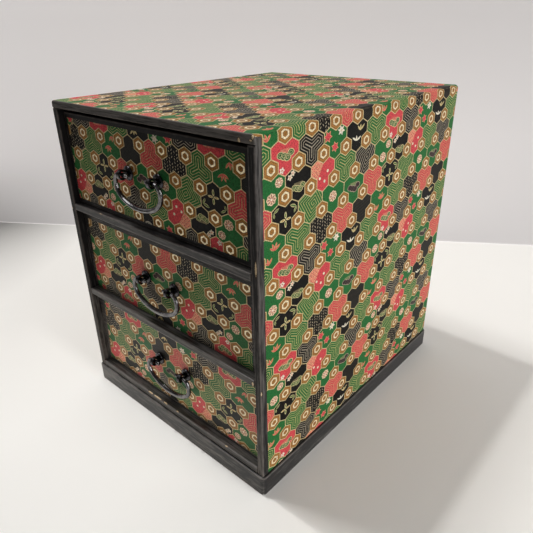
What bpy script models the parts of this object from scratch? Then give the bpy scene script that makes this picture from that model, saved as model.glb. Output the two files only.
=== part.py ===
# Small three-drawer trinket chest of thin board covered in paper, with drop-bail pulls.
# Metres, +Z up. The front faces -Y. The origin is on the floor, in the middle of what the
# whole chest covers there, pulls included. Left and right are as seen from the front.

import math

import bmesh
import bpy
from mathutils import Vector

# Case
case_width = 0.1100
case_depth = 0.1325
board = 0.0028              # top, bottom, sides and shelves
back_board = 0.0022
side_rebate = 0.0014        # how far the sides are cut away to take the back board
seam = 0.0003               # glue line between boards, and the air under a resting piece
board_edge_round = 0.0003
top_edge_round = 0.0015      # long upper edges of the top, where the paper turns over
bottom_opening = 0.0384     # clear heights of the three drawer bays
middle_opening = 0.0385
top_opening = 0.0397

# Plinth
plinth_height = 0.0086
plinth_proud = 0.0008       # how far it stands out from the case all round
plinth_strip = 0.0085       # width of its strips, seen from below
plinth_corner = 0.0018      # radius of its upright corners
plinth_edge_round = 0.00035

# Drawers
drawer_front_board = 0.0028
front_rabbet = 0.0014       # cut from the front board's rear ends to take the side walls
drawer_wall = 0.0022
drawer_floor_board = 0.0016
drawer_side_play = 0.0004   # air at each side of a drawer
bottom_head_room = 0.0004   # air above the three fronts
middle_head_room = 0.0005
top_head_room = 0.0017
drawer_recess = 0.0033      # front face behind the case's front edges, pushed home
top_drawer_forward = 0.0007  # the top drawer stands this much out of its home place
wall_drop = 0.0016          # drawer walls are this much lower than the front

# Pulls. They are fitted by eye, so each has its own place on its drawer front: the bail's
# axis is this far across from the front's middle, and this far above it.
top_pull_shift = (-0.0019, 0.0010)
middle_pull_shift = (-0.0004, -0.0003)
bottom_pull_shift = (0.0014, 0.0017)
pin_spacing = 0.0176
pull_stand_off = 0.0033     # the bail's axis in front of the drawer front
eye_hole_radius = 0.00118
pin_thickness = 0.0008
pin_width = 0.0017
pin_corner = 0.0002         # chamfer along the strip's four corners
pin_leg_gap = 0.0003
pin_neck_radius = 0.0007    # where the eye runs into the two legs
pin_bend_radius = 0.0009    # where the legs turn out behind the front
pin_leg_length = 0.0050     # the part that is spread flat on the inner face
pin_hole_clearance = 0.0003
seat_radius = 0.0028
seat_height = 0.00105
seat_rim = 0.0003
bail_half_width = 0.0134    # to the middle of the wire
bail_drop = 0.0114
bail_wide_drop = 0.0040     # where the bail is widest, below its axis
bail_shoulder = 0.0026      # how far the shoulder turns in from the widest place
bail_tip_reach = 0.0060     # from the middle of the pull to the tips
bail_wire_radius = 0.00105
bail_end_radius = 0.0008

# Facets
round_sides = 24
wire_sides = 12
arc_steps = 5
bow_steps = 12
tip_turn = 75               # degrees of the rounding at the bail's tips, left flat beyond
cut_overrun = 0.0010

# Heights and lengths that follow
bottom_board_base = plinth_height + seam
bottom_bay_floor = bottom_board_base + board
lower_shelf_base = bottom_bay_floor + bottom_opening
middle_bay_floor = lower_shelf_base + board
upper_shelf_base = middle_bay_floor + middle_opening
top_bay_floor = upper_shelf_base + board
top_board_base = top_bay_floor + top_opening
bottom_front_height = bottom_opening - seam - bottom_head_room
middle_front_height = middle_opening - seam - middle_head_room
top_front_height = top_opening - seam - top_head_room

inner_half_width = case_width / 2 - board
front_edge = -case_depth / 2
rear_edge = case_depth / 2
back_inner_face = rear_edge - back_board
drawer_width = 2 * (inner_half_width - drawer_side_play)
drawer_length = back_inner_face - seam - front_edge - drawer_recess
eye_ring_radius = eye_hole_radius + pin_thickness / 2
pin_leg_offset = (pin_leg_gap + pin_thickness) / 2
pin_leg_rear = pull_stand_off + drawer_front_board + seam + pin_thickness / 2

# The pulls of the top drawer reach further forward than the plinth, so the case sits back
# from the origin by half of the difference.
plinth_reach = case_depth / 2 + plinth_proud
pull_thickness = max(bail_wire_radius, eye_ring_radius + pin_thickness / 2)
pull_reach = case_depth / 2 - drawer_recess + top_drawer_forward + pull_stand_off + pull_thickness
case_setback = (pull_reach - plinth_reach) / 2

# Finishes: base colour, roughness, metallic
BLACK_PAPER = ((0.030, 0.028, 0.029), 0.52, 0.0)
PRINTED_PAPER = ((0.165, 0.120, 0.062), 0.45, 0.0)
DARK_METAL = ((0.055, 0.053, 0.056), 0.28, 1.0)


def clear_scene():
    for item in list(bpy.data.objects):
        bpy.data.objects.remove(item, do_unlink=True)


def make_material(name, finish):
    colour, roughness, metallic = finish
    material = bpy.data.materials.new(name)
    material.use_nodes = True
    shader = material.node_tree.nodes["Principled BSDF"]
    shader.inputs["Base Color"].default_value = (*colour, 1.0)
    shader.inputs["Roughness"].default_value = roughness
    shader.inputs["Metallic"].default_value = metallic
    material.diffuse_color = (*colour, 1.0)
    return material


def make_empty(name, location, parent=None):
    empty = bpy.data.objects.new(name, None)
    bpy.context.collection.objects.link(empty)
    empty.parent = parent
    empty.location = location
    return empty


def make_object(name, mesh, location, parent, finish):
    piece = bpy.data.objects.new(name, mesh)
    bpy.context.collection.objects.link(piece)
    piece.parent = parent
    piece.location = location
    if finish is not None:
        mesh.materials.clear()
        mesh.materials.append(make_material(name, finish))
    return piece


def finish_mesh(bm, name, smooth=False):
    bmesh.ops.recalc_face_normals(bm, faces=bm.faces)
    mesh = bpy.data.meshes.new(name)
    bm.to_mesh(mesh)
    bm.free()
    if smooth:
        mesh.shade_smooth()
        mesh.set_sharp_from_angle(angle=math.radians(40))
    return mesh


def add_bevel(piece, width):
    bevel = piece.modifiers.new("soft edges", "BEVEL")
    bevel.width = width
    bevel.segments = 2
    bevel.limit_method = "ANGLE"
    bevel.angle_limit = math.radians(35)


def add_cut(piece, cutter):
    cut = piece.modifiers.new("cut by " + cutter.name, "BOOLEAN")
    cut.operation = "DIFFERENCE"
    cut.object = cutter
    cutter.hide_render = True
    cutter.display_type = "WIRE"


def box_mesh(name, size):
    bm = bmesh.new()
    bmesh.ops.create_cube(bm, size=1.0)
    bmesh.ops.scale(bm, vec=size, verts=bm.verts)
    return finish_mesh(bm, name)


def make_board(name, low, high, parent, finish, edge_round=board_edge_round):
    """A board between two corners, given in its parent's frame."""
    low, high = Vector(low), Vector(high)
    piece = make_object(name, box_mesh(name, high - low), (low + high) / 2, parent, finish)
    add_bevel(piece, edge_round)
    return piece


def extruded_outline(name, outline, height):
    """A flat outline in XY, drawn up along Z from zero to the height."""
    bm = bmesh.new()
    face = bm.faces.new([bm.verts.new((x, y, 0)) for x, y in outline])
    drawn = bmesh.ops.extrude_face_region(bm, geom=[face])
    moved = [item for item in drawn["geom"] if isinstance(item, bmesh.types.BMVert)]
    bmesh.ops.translate(bm, verts=moved, vec=(0, 0, height))
    return finish_mesh(bm, name)


def arc_points(centre, radius, start, end, steps):
    """Points of an arc, angles in degrees, both ends included."""
    points = []
    for step in range(steps + 1):
        angle = math.radians(start + (end - start) * step / steps)
        points.append((centre[0] + radius * math.cos(angle), centre[1] + radius * math.sin(angle)))
    return points


def swept_mesh(name, rings):
    """A closed skin over rings of points, with a face across each end."""
    bm = bmesh.new()
    loops = [[bm.verts.new(point) for point in ring] for ring in rings]
    for first, second in zip(loops, loops[1:]):
        for i in range(len(first)):
            j = (i + 1) % len(first)
            bm.faces.new((first[i], first[j], second[j], second[i]))
    bm.faces.new(loops[0])
    bm.faces.new(loops[-1])
    return finish_mesh(bm, name, smooth=True)


def plinth_outline(half_length, reach):
    """Plan of a strip whose outer face looks to -Y, mitred at both ends."""
    mitre_gap = seam / math.sqrt(2)
    corner = (half_length - plinth_corner, plinth_corner - reach)
    right = arc_points(corner, plinth_corner, -90, -45, arc_steps)
    right[-1] = (right[-1][0] - mitre_gap, right[-1][1])
    right.append((half_length - plinth_strip - mitre_gap, plinth_strip - reach))
    left = [(-x, y) for x, y in reversed(right)]
    return left + right


def build_plinth(chest):
    half_width = case_width / 2 + plinth_proud
    sides = (
        ("plinth_front", half_width, plinth_reach, 0),
        ("plinth_right", plinth_reach, half_width, 90),
        ("plinth_back", half_width, plinth_reach, 180),
        ("plinth_left", plinth_reach, half_width, 270),
    )
    for name, half_length, reach, turn in sides:
        mesh = extruded_outline(name, plinth_outline(half_length, reach), plinth_height)
        strip = make_object(name, mesh, (0, 0, 0), chest, BLACK_PAPER)
        strip.rotation_euler.z = math.radians(turn)
        add_bevel(strip, plinth_edge_round)


def case_side_outline():
    """Plan of the right side board, rebated behind to take the back board."""
    shoulder = back_inner_face - seam
    return [
        (inner_half_width, front_edge),
        (case_width / 2, front_edge),
        (case_width / 2, rear_edge),
        (inner_half_width + side_rebate, rear_edge),
        (inner_half_width + side_rebate, shoulder),
        (inner_half_width, shoulder),
    ]


def case_top_outline():
    """Section of the top board in XZ, its base at zero, with its upper corners rounded."""
    centre = (case_width / 2 - top_edge_round, board - top_edge_round)
    right = [(case_width / 2, 0)]
    right += arc_points(centre, top_edge_round, 0, 90, 2 * arc_steps)
    return right + [(-x, z) for x, z in reversed(right)]


def build_case(chest):
    side_height = top_board_base - seam - bottom_board_base
    right_side = case_side_outline()
    left_side = [(-x, y) for x, y in reversed(right_side)]
    for name, outline in (("case_left_side", left_side), ("case_right_side", right_side)):
        mesh = extruded_outline(name, outline, side_height)
        side = make_object(name, mesh, (0, 0, bottom_board_base), chest, PRINTED_PAPER)
        add_bevel(side, board_edge_round)
    top_mesh = extruded_outline("case_top", case_top_outline(), case_depth)
    top = make_object("case_top", top_mesh, (0, rear_edge, top_board_base), chest, PRINTED_PAPER)
    top.rotation_euler.x = math.radians(90)
    add_bevel(top, board_edge_round)
    back_half = inner_half_width + side_rebate - seam
    make_board(
        "case_back",
        (-back_half, back_inner_face, bottom_board_base),
        (back_half, rear_edge, bottom_board_base + side_height),
        chest, PRINTED_PAPER)
    between = inner_half_width - seam
    for name, base in (
        ("case_bottom", bottom_board_base),
        ("case_lower_shelf", lower_shelf_base),
        ("case_upper_shelf", upper_shelf_base),
    ):
        low = (-between, front_edge, base)
        high = (between, back_inner_face - seam, base + board)
        make_board(name, low, high, chest, BLACK_PAPER)


def pin_path():
    """Middle line of a split pin in its own YZ plane and the direction across it.

    The eye's centre is at zero and the drawer lies at +Y. The line starts at the tip of the
    upper leg, runs through the front board, round the eye and back to the lower leg's tip.
    """
    neck_height = pin_leg_offset + pin_neck_radius
    neck_place = math.sqrt((eye_ring_radius + pin_neck_radius) ** 2 - neck_height ** 2)
    meet = math.degrees(math.atan2(neck_height, neck_place))
    bend_centre = (pin_leg_rear - pin_bend_radius, pin_leg_offset + pin_bend_radius)

    upper = [(pin_leg_rear, bend_centre[1] + pin_leg_length)]
    upper += arc_points(bend_centre, pin_bend_radius, 0, -90, arc_steps)
    upper += arc_points((neck_place, neck_height), pin_neck_radius, -90, meet - 180, arc_steps)
    eye = arc_points((0, 0), eye_ring_radius, meet, 360 - meet, round_sides)
    lower = [(y, -z) for y, z in reversed(upper)]
    points = [Vector(point) for point in upper + eye[1:-1] + lower]

    across = []
    for i in range(len(points)):
        run = points[min(i + 1, len(points) - 1)] - points[max(i - 1, 0)]
        across.append(Vector((-run.y, run.x)).normalized())
    return points, across


def pin_mesh(name):
    """The path swept with a flat section whose corners are taken off."""
    points, across = pin_path()
    x_flat, t_flat = pin_width / 2 - pin_corner, pin_thickness / 2 - pin_corner
    quarter = [(pin_width / 2, t_flat), (x_flat, pin_thickness / 2)]
    upper = quarter + [(-x, t) for x, t in reversed(quarter)]
    section = upper + [(-x, -t) for x, t in upper]
    rings = []
    for point, side in zip(points, across):
        rings.append([(x, point.x + side.x * t, point.y + side.y * t) for x, t in section])
    return swept_mesh(name, rings)


def bail_half_path():
    """Middle line of the right half of a bail in XZ, from its tip to its lowest point."""
    shoulder_x = bail_half_width - bail_shoulder
    path = [(bail_tip_reach, 0)]
    for step in range(arc_steps + 1):
        angle = math.pi / 2 * (1 - step / arc_steps)
        path.append((
            shoulder_x + bail_shoulder * math.cos(angle),
            bail_wide_drop * (math.sin(angle) - 1)))
    bow_depth = bail_drop - bail_wide_drop
    for step in range(1, bow_steps + 1):
        angle = math.pi / 2 * step / bow_steps
        path.append((
            bail_half_width * math.cos(angle),
            -bail_wide_drop - bow_depth * math.sin(angle)))
    return path


def wire_ring(centre, across, radius):
    """A circle square to the wire, whose plane holds Y and the across direction."""
    ring = []
    for i in range(wire_sides):
        angle = 2 * math.pi * i / wire_sides
        side = across * radius * math.cos(angle)
        ring.append((centre.x + side.x, radius * math.sin(angle), centre.y + side.y))
    return ring


def tip_rings(tip, outward):
    """Shrinking rings that round off a tip of the wire, from the wire outwards."""
    steps = arc_steps - 1
    rings = []
    for step in range(1, steps + 1):
        angle = math.radians(tip_turn * step / steps)
        centre = tip + Vector((outward * bail_end_radius * math.sin(angle), 0))
        rings.append(wire_ring(centre, Vector((0, 1)), bail_end_radius * math.cos(angle)))
    return rings


def bail_mesh(name):
    """Round wire along the bail, thick at the bow, thin in the eyes, with rounded tips."""
    half = bail_half_path()
    points = [Vector(point) for point in half]
    points += [Vector((-x, z)) for x, z in reversed(half[:-1])]
    run = [0.0]
    for first, second in zip(points, points[1:]):
        run.append(run[-1] + (second - first).length)
    straight_end = bail_half_width - bail_shoulder - bail_tip_reach
    rings = []
    for i, point in enumerate(points):
        along = points[min(i + 1, len(points) - 1)] - points[max(i - 1, 0)]
        across = Vector((-along.y, along.x)).normalized()
        from_end = min(run[i], run[-1] - run[i])
        share = max(0.0, (from_end - straight_end) / (run[-1] / 2 - straight_end))
        radius = bail_end_radius + (bail_wire_radius - bail_end_radius) * math.sin(share * math.pi / 2)
        rings.append(wire_ring(point, across, radius))
    right_tip = tip_rings(points[0], -1)
    left_tip = tip_rings(points[-1], 1)
    return swept_mesh(name, right_tip[::-1] + rings + left_tip)


def seat_profile():
    """Half section of the domed seat: radius and height, from the rim's foot to the crown."""
    crown = seat_height - seat_rim
    profile = [(seat_radius, 0)]
    for step in range(arc_steps + 1):
        angle = math.pi / 2 * step / arc_steps
        profile.append((seat_radius * math.cos(angle), seat_rim + crown * math.sin(angle)))
    return profile


def seat_mesh(name):
    """The profile turned about Y, with its flat side on the drawer front at y = 0."""
    rings = []
    for radius, height in seat_profile()[:-1]:
        ring = []
        for i in range(round_sides):
            angle = 2 * math.pi * i / round_sides
            ring.append((radius * math.cos(angle), -height, radius * math.sin(angle)))
        rings.append(ring)
    return swept_mesh(name, rings)


def make_hole_cutter(name, location, parent):
    """A round hole that passes both legs of a pin through the front board."""
    half_diagonal = math.hypot(pin_width / 2, pin_leg_offset + pin_thickness / 2)
    bm = bmesh.new()
    bmesh.ops.create_cone(
        bm, cap_ends=True, segments=round_sides,
        radius1=half_diagonal + pin_hole_clearance, radius2=half_diagonal + pin_hole_clearance,
        depth=drawer_front_board + 2 * cut_overrun)
    cutter = make_object(name, finish_mesh(bm, name), location, parent, None)
    cutter.rotation_euler.x = math.radians(90)
    return cutter


def make_slot_cutter(name, location, parent):
    """The slot in a seat, a close fit round the pin's two legs."""
    size = (
        pin_width + 2 * pin_hole_clearance,
        2 * (seat_height + cut_overrun),
        2 * pin_leg_offset + pin_thickness + 2 * pin_hole_clearance)
    return make_object(name, box_mesh(name, size), location, parent, None)


def build_pull(drawer, front, name, middle, height):
    """Bail, pins and seats. The drawer's frame has its front face at y = 0, its base at z = 0."""
    axis = make_empty(name + "_bail_axis", (middle, -pull_stand_off, height), drawer)
    make_object(name + "_bail", bail_mesh(name + "_bail"), (0, 0, 0), axis, DARK_METAL)
    for side, x in (("left", middle - pin_spacing / 2), ("right", middle + pin_spacing / 2)):
        pin = name + "_" + side + "_pin"
        make_object(pin, pin_mesh(pin), (x, -pull_stand_off, height), drawer, DARK_METAL)
        seat_name = name + "_" + side + "_seat"
        seat = make_object(seat_name, seat_mesh(seat_name), (x, -seam, height), drawer, DARK_METAL)
        add_cut(seat, make_slot_cutter(seat_name + "_slot", (x, -seam, height), drawer))
        hole_centre = (x, drawer_front_board / 2, height)
        add_cut(front, make_hole_cutter(pin + "_hole", hole_centre, drawer))


def drawer_front_outline():
    """Plan of a drawer front, with a rabbet behind each end for the side wall."""
    half = drawer_width / 2
    rabbet_face = drawer_front_board - front_rabbet
    rabbet_end = half - drawer_wall - seam
    right = [
        (half, 0),
        (half, rabbet_face),
        (rabbet_end, rabbet_face),
        (rabbet_end, drawer_front_board),
    ]
    return right + [(-x, y) for x, y in reversed(right)]


def build_drawer(chest, name, bay_floor, front_height, forward, pull_shift):
    """One drawer in a frame of its own: front face at y = 0, base at z = 0."""
    place = (0, front_edge + drawer_recess - forward, bay_floor + seam)
    drawer = make_empty(name + "_slide", place, chest)
    half = drawer_width / 2
    mesh = extruded_outline(name + "_front", drawer_front_outline(), front_height)
    front = make_object(name + "_front", mesh, (0, 0, 0), drawer, PRINTED_PAPER)
    add_bevel(front, board_edge_round)
    wall_start = drawer_front_board - front_rabbet + seam
    wall_height = front_height - wall_drop
    for side, outer, inner in (
        ("left", -half, drawer_wall - half),
        ("right", half, half - drawer_wall),
    ):
        make_board(
            name + "_" + side + "_side",
            (min(outer, inner), wall_start, 0), (max(outer, inner), drawer_length, wall_height),
            drawer, BLACK_PAPER)
    between = half - drawer_wall - seam
    floor_start = drawer_front_board + seam
    rear_start = drawer_length - drawer_wall
    make_board(
        name + "_back", (-between, rear_start, 0), (between, drawer_length, wall_height),
        drawer, BLACK_PAPER)
    make_board(
        name + "_floor", (-between, floor_start, 0), (between, rear_start - seam, drawer_floor_board),
        drawer, BLACK_PAPER)
    pull_middle, pull_rise = pull_shift
    build_pull(drawer, front, name, pull_middle, front_height / 2 + pull_rise)


def main():
    clear_scene()
    chest = make_empty("chest", (0, case_setback, 0))
    build_plinth(chest)
    build_case(chest)
    for name, bay_floor, front_height, forward, pull_shift in (
        ("top_drawer", top_bay_floor, top_front_height, top_drawer_forward, top_pull_shift),
        ("middle_drawer", middle_bay_floor, middle_front_height, 0, middle_pull_shift),
        ("bottom_drawer", bottom_bay_floor, bottom_front_height, 0, bottom_pull_shift),
    ):
        build_drawer(chest, name, bay_floor, front_height, forward, pull_shift)
    bpy.context.view_layer.update()


main()
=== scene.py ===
# Looks for a small trinket chest: printed and black paper over thin board, dark metal pulls.
# Metres, +Z up, the front faces -Y. Left and right are as seen from the front.
import math

import bpy
from mathutils import Matrix, Vector


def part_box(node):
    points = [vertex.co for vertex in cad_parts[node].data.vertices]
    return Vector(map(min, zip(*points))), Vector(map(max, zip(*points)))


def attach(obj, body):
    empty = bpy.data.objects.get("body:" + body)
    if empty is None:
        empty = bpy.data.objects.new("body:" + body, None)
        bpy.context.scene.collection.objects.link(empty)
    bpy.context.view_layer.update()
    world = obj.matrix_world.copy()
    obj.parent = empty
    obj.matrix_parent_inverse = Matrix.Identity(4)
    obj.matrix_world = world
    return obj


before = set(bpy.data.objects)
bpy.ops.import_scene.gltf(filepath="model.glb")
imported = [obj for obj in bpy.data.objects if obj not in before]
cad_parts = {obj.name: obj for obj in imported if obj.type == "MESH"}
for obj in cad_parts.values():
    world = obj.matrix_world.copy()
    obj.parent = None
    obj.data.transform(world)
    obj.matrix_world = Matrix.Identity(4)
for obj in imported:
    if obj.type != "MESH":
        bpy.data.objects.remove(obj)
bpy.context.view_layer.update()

# The print is a lattice of cells: pointed hexagons, every fourth one a small rosette cell, and
# the other three round each meeting point joined into a trefoil. It repeats after five
# trefoils along a row and four rows up the sheet.
CELL_WIDTH = 0.00636
ROW_HEIGHT = 0.00470
ROW_STEP = math.sqrt(3) / 2        # height of a row when the hexagons are regular
TREFOIL_RISE = 1 / math.sqrt(3)    # from the middle of its lone lobe to a trefoil's middle

# Colours of the inks and papers, as sRGB shares
GREEN = (0.150, 0.435, 0.215)
RED = (0.870, 0.310, 0.330)
INK_BLACK = (0.022, 0.019, 0.018)
OCHRE = (0.690, 0.480, 0.235)
BROWN = (0.430, 0.280, 0.130)
GOLD = (0.885, 0.800, 0.600)
PALE_GOLD = (0.900, 0.840, 0.620)
CREAM = (1.000, 0.930, 0.770)
BLACK_PAPER = (0.120, 0.114, 0.115)
GREY_STREAK = (0.415, 0.400, 0.385)
RUBBED_PAPER = (0.520, 0.490, 0.470)
DARK_METAL = (0.230, 0.225, 0.235)
BRIGHT_METAL = (0.360, 0.355, 0.365)
RUBBED_METAL = (0.600, 0.590, 0.580)
RAW_BOARD = (0.880, 0.790, 0.640)
TORN_BOARD = (0.300, 0.200, 0.130)
DARK_FLECK = (0.050, 0.045, 0.040)
PALE_FLECK = (0.750, 0.700, 0.600)
RUBBED_PRINT = (0.800, 0.740, 0.620)
TABLE = (0.930, 0.922, 0.902)
# Painted light and shade on the stage: the warm glow that the table throws at the chest, the table
# farther off as dark as bounced light finds it, and the painted shade in the corner of wall and
# table.
WARM_TABLE_GLOW = (0.930, 0.875, 0.800)
FAR_TABLE_SHADE = (0.300, 0.290, 0.280)
CORNER = (0.420, 0.410, 0.400)
WALL = (0.845, 0.830, 0.825)
GROUNDS = {"green": GREEN, "red": RED, "black": INK_BLACK}
LINE_INKS = {
    "green": (0.740, 0.720, 0.470),
    "red": (0.850, 0.650, 0.480),
    "black": (0.680, 0.640, 0.560),
}

# Trefoils of the print, one name each, along the four rows from the lowest up
TREFOILS = (
    ("green sprays", "green lines", "black dashes", "red lines", "black hatch"),
    ("black cross", "green fret", "green roundel", "green cloud", "red lines"),
    ("green roundels", "black cloud", "red plum", "green lines", "black fret"),
    ("red cloud", "black lines", "green blossom", "black sprays", "green lines"),
)
ROW_LENGTH = len(TREFOILS[0])
ROW_COUNT = len(TREFOILS)

# Sizes and places of the motifs, in widths of a cell from the middle of the trefoil
LINE_EDGE = 0.02                   # how softly a printed line ends
OUTLINE_HALF = 0.028
LINE_STEP = 0.163
LINE_HALF = 0.022
FRET_STEP = 0.160
LEAN = (0.866, 0.5)                # the fret and the hatch lie at 30 degrees
NEEDLE_STEP = 0.09
SCALE_STEP = 0.15
RING_MIDDLE = 0.222
RING_HALF = 0.058
DASH_STEP = 0.22
PLUM_DOTS = ((0.40, 0.04), (-0.27, -0.28), (0.14, -0.54))
ROUNDELS = {
    "green roundel": (((-0.03, 0.0), 0.36),),
    "green roundels": (((0.0, -0.44), 0.35), ((0.55, 0.36), 0.29)),
}
# Clouds: the trefoils, the middle, the size, the fill, the rim and how strong the folds are
CLOUDS = (
    ("red cloud", (0.03, 0.02), 1.0, (0.06, 0.36, 0.18), PALE_GOLD, 0.7),
    ("green cloud", (0.0, 0.0), 1.0, (0.17, 0.10, 0.12), (0.72, 0.62, 0.56), 0.15),
    ("black cloud", (0.0, -0.30), 0.86, (0.16, 0.38, 0.16), PALE_GOLD, 0.7),
)
# Lobes of a cloud: place across and up, half width, half height
CLOUD_LOBES = (
    (-0.38, 0.04, 0.22, 0.18),
    (0.38, 0.08, 0.22, 0.18),
    (-0.12, -0.06, 0.24, 0.19),
    (0.12, -0.14, 0.24, 0.20),
)


# Finishes of the papers and the metal
RUB_WIDTH = 0.0007                 # how far in from an edge the paper is rubbed pale
PAPER_GRIT = 0.00005               # how deep the paper's fibres and streaks are
METAL_GRIT = 0.00002
BLACK_SHEEN = 0.35                 # how much the black paper mirrors


def linear(colour):
    """sRGB shares as the linear colour that the shaders work in."""
    return tuple(c / 12.92 if c <= 0.04045 else ((c + 0.055) / 1.055) ** 2.4 for c in colour)


def rgba(colour):
    return (*linear(colour), 1.0)


class Signal:
    """One output in a node tree, so that a formula reads as one."""

    def __init__(self, recipe, socket):
        self.recipe = recipe
        self.socket = socket

    def math(self, operation, *others, clamp=False):
        return self.recipe.math(operation, self, *others, clamp=clamp)

    def __add__(self, other):
        return self.math("ADD", other)

    __radd__ = __add__

    def __sub__(self, other):
        return self.math("SUBTRACT", other)

    def __rsub__(self, other):
        return self.recipe.math("SUBTRACT", other, self)

    def __mul__(self, other):
        return self.math("MULTIPLY", other)

    __rmul__ = __mul__

    def __truediv__(self, other):
        return self.math("DIVIDE", other)

    def wrap(self, length):
        return self.math("FLOORED_MODULO", length)

    def size(self):
        return self.math("ABSOLUTE")

    def floor(self):
        return self.math("FLOOR")

    def least(self, other):
        return self.math("MINIMUM", other)

    def most(self, other):
        return self.math("MAXIMUM", other)

    def flip(self):
        return self.recipe.math("SUBTRACT", 1.0, self)

    def clamped(self, gain=1.0):
        """The signal times a gain, held between 0 and 1."""
        return self.math("MULTIPLY", gain, clamp=True)

    def below(self, limit, soft=0.03):
        """1 where the signal is under the limit, 0 where it is over, with a soft change."""
        return self.math("MULTIPLY_ADD", -1 / soft, limit / soft + 0.5, clamp=True)

    def above(self, limit, soft=0.03):
        return self.math("MULTIPLY_ADD", 1 / soft, 0.5 - limit / soft, clamp=True)

    def near(self, value, half_width, soft=0.03):
        """1 on a line round the value."""
        return (self - value).size().below(half_width, soft)

    def equals(self, value):
        return self.math("COMPARE", value, 0.5)


class Recipe:
    """A node tree being filled in, with a short call for each kind of node."""

    def __init__(self, tree):
        self.tree = tree

    def node(self, kind, **settings):
        node = self.tree.nodes.new(kind)
        for name, value in settings.items():
            setattr(node, name, value)
        return node

    def feed(self, socket, value):
        if isinstance(value, Signal):
            self.tree.links.new(value.socket, socket)
        else:
            socket.default_value = value

    def out(self, node, which=0):
        return Signal(self, node.outputs[which])

    def math(self, operation, *values, clamp=False):
        node = self.node("ShaderNodeMath", operation=operation, use_clamp=clamp)
        for socket, value in zip(node.inputs, values):
            self.feed(socket, value)
        return self.out(node)

    def vector_math(self, operation, *values, which=0):
        node = self.node("ShaderNodeVectorMath", operation=operation)
        for socket, value in zip(node.inputs, values):
            self.feed(socket, value)
        return self.out(node, which)

    def vector(self, x=0.0, y=0.0, z=0.0):
        node = self.node("ShaderNodeCombineXYZ")
        for socket, value in zip(node.inputs, (x, y, z)):
            self.feed(socket, value)
        return self.out(node)

    def parts(self, vector):
        node = self.node("ShaderNodeSeparateXYZ")
        self.feed(node.inputs[0], vector)
        return [self.out(node, i) for i in range(3)]

    def choose(self, share, first, second, kind="FLOAT"):
        """The first value where the share is 0, the second where it is 1."""
        node = self.node("ShaderNodeMix", data_type=kind)
        places = {"FLOAT": (0, 2, 3, 0), "VECTOR": (0, 4, 5, 1), "RGBA": (0, 6, 7, 2)}[kind]
        for place, value in zip(places, (share, first, second)):
            self.feed(node.inputs[place], value)
        return self.out(node, places[3])

    def paint(self, share, under, over):
        """A colour laid over another where the share says so."""
        under = under if isinstance(under, Signal) else rgba(under)
        over = over if isinstance(over, Signal) else rgba(over)
        return self.choose(share, under, over, kind="RGBA")

    def length(self, vector):
        return self.vector_math("LENGTH", vector, which="Value")

    def noise(self, place, scale, detail=2.0, roughness=0.5, distortion=0.0):
        node = self.node("ShaderNodeTexNoise", noise_dimensions="3D")
        self.feed(node.inputs["Vector"], place)
        self.feed(node.inputs["Scale"], scale)
        self.feed(node.inputs["Detail"], detail)
        self.feed(node.inputs["Roughness"], roughness)
        self.feed(node.inputs["Distortion"], distortion)
        return self.out(node)

    def steps(self, signal, values):
        """A ramp of even steps, one for each value, over the range from 0 to 1."""
        node = self.node("ShaderNodeValToRGB")
        ramp = node.color_ramp
        ramp.interpolation = "CONSTANT"
        while len(ramp.elements) < len(values):
            ramp.elements.new(1.0)
        for i, value in enumerate(values):
            ramp.elements[i].position = i / len(values)
            ramp.elements[i].color = value
        self.feed(node.inputs[0], signal)
        return self.out(node)


def new_group(name, inputs, outputs):
    """A node group with named inputs and outputs; each is a name, a kind and a first value."""
    tree = bpy.data.node_groups.new(name, "ShaderNodeTree")
    for place, sockets in (("INPUT", inputs), ("OUTPUT", outputs)):
        for label, kind, value in sockets:
            socket = tree.interface.new_socket(
                label, in_out=place, socket_type="NodeSocket" + kind)
            if value is not None:
                socket.default_value = value
    recipe = Recipe(tree)
    entry = recipe.node("NodeGroupInput")
    leave = recipe.node("NodeGroupOutput")
    given = {label: recipe.out(entry, label) for label, _, _ in inputs}
    return recipe, given, leave


def place_group(recipe, tree, **values):
    """The group's outputs by name, once its inputs are fed. Underscores stand for spaces."""
    node = recipe.node("ShaderNodeGroup", node_tree=tree)
    for name, value in values.items():
        recipe.feed(node.inputs[name.replace("_", " ")], value)
    return {output.name: Signal(recipe, output) for output in node.outputs}


# The printed paper

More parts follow.
